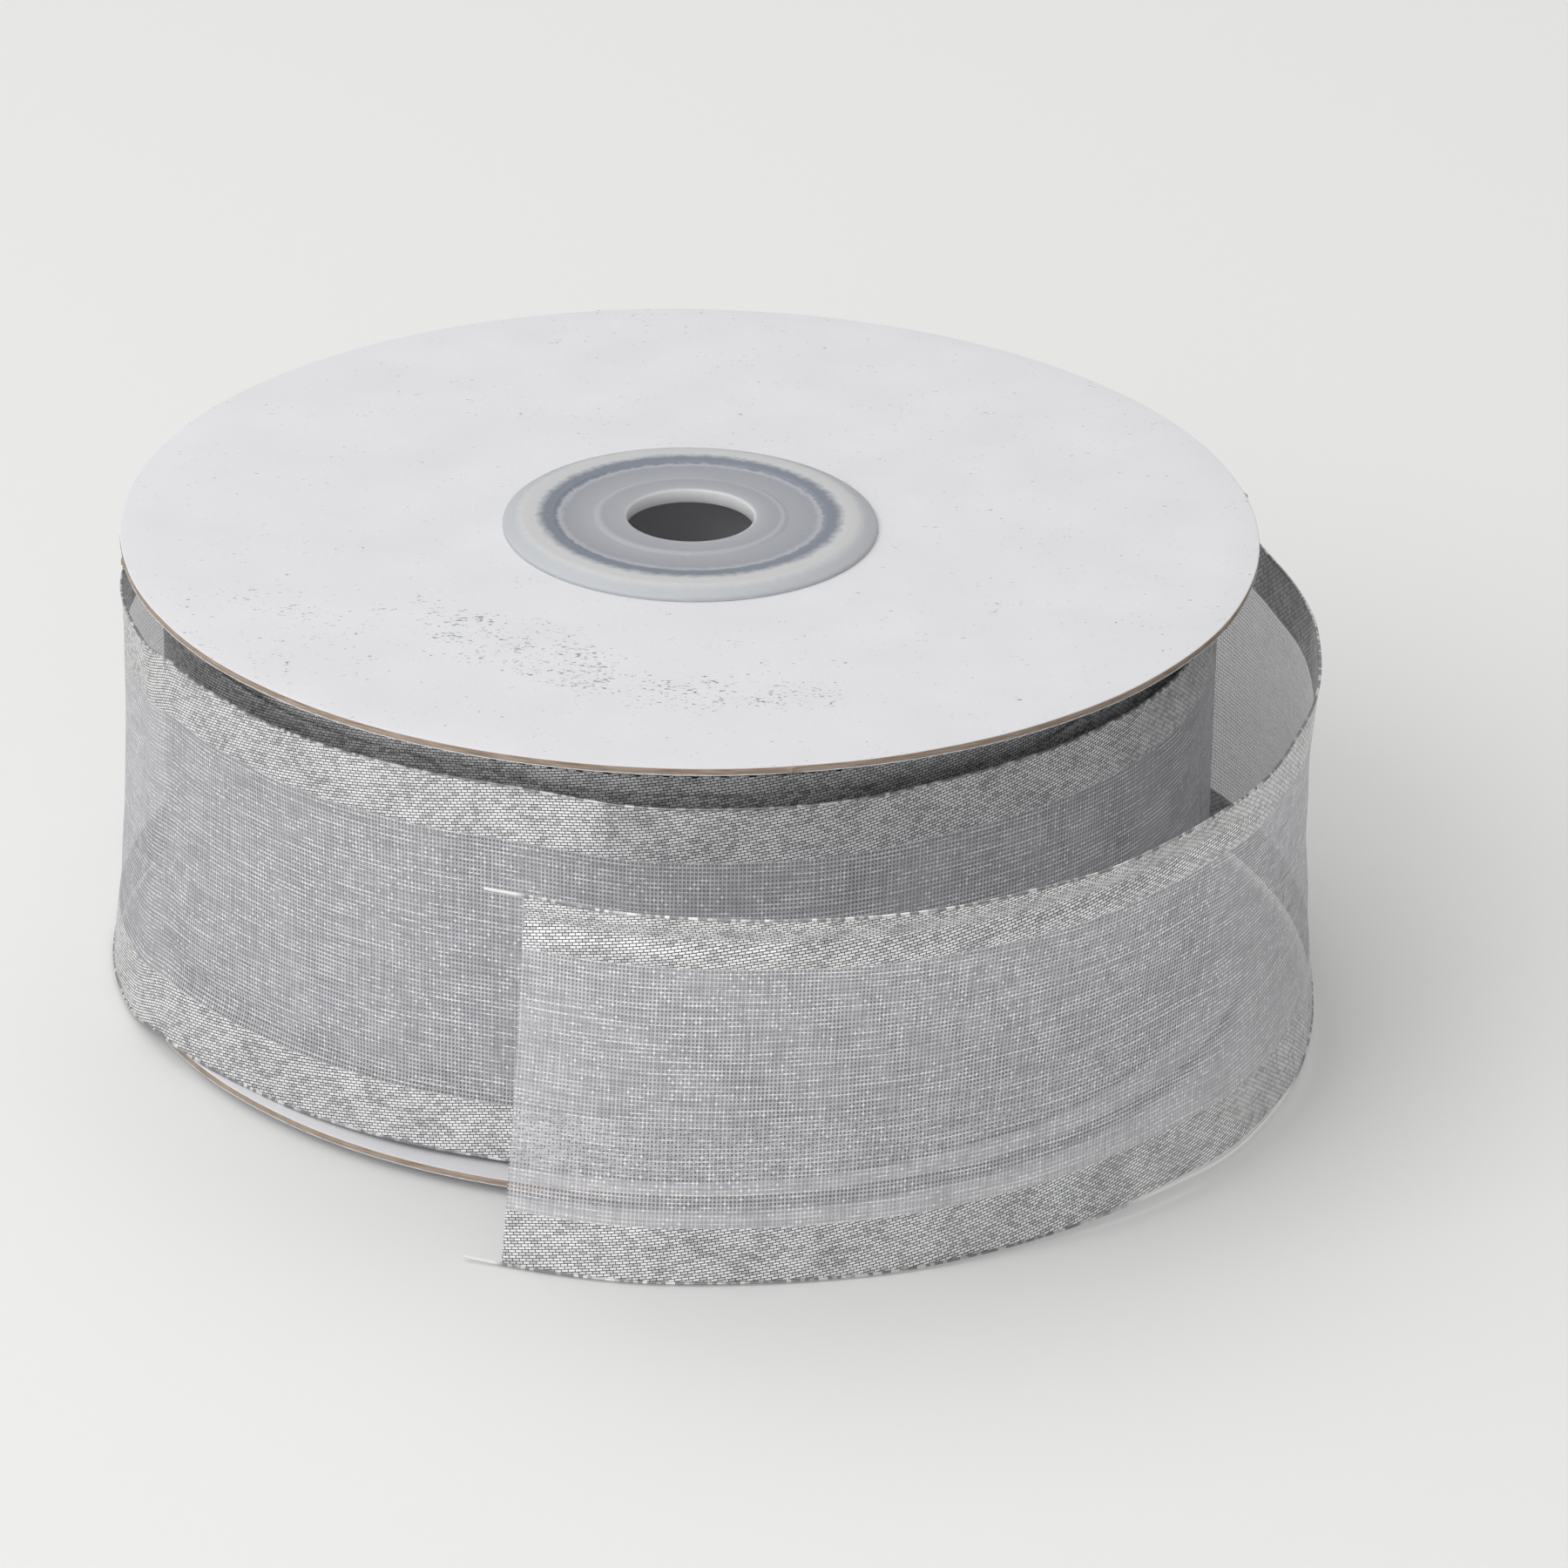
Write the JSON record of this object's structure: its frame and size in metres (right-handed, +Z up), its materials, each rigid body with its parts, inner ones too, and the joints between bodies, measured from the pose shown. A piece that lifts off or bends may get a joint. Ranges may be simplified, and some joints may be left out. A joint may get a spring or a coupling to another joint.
{
  "type": "ribbon spool",
  "caption": "Flanged paper spool with moulded hub plugs and a through bore, wound with a satin-edged organza ribbon whose last turn hangs loose round the front.",
  "frame": {"origin": "centre of the bore in the plane of the lower hub plug's outer face, which rests on the table", "axes": "+Z up along the spool axis, towards the upper flange; -Y towards the side where the loose end of the ribbon hangs"},
  "size_m": [0.1159, 0.1271, 0.0462],
  "materials": {
    "chipboard": "matt",
    "liner_paper": "matt",
    "tube_board": "matt",
    "natural_plastic": "satin",
    "tape_film": "gloss",
    "ribbon_cloth": "satin",
    "filament_nylon": "gloss"
  },
  "bodies": {
    "root": {"upper_flange_board": "chipboard", "upper_flange_outer_liner": "liner_paper", "upper_flange_inner_liner": "liner_paper", "lower_flange_board": "chipboard", "lower_flange_outer_liner": "liner_paper", "lower_flange_inner_liner": "liner_paper", "core_tube": "tube_board", "upper_hub_plug": "natural_plastic", "lower_hub_plug": "natural_plastic", "starting_tape": "tape_film", "ribbon_pack": "ribbon_cloth", "ribbon_outer_wrap": "ribbon_cloth", "ribbon_loose_turn": "ribbon_cloth", "upper_edge_filament": "filament_nylon", "lower_edge_filament": "filament_nylon"}
  },
  "joints": []
}
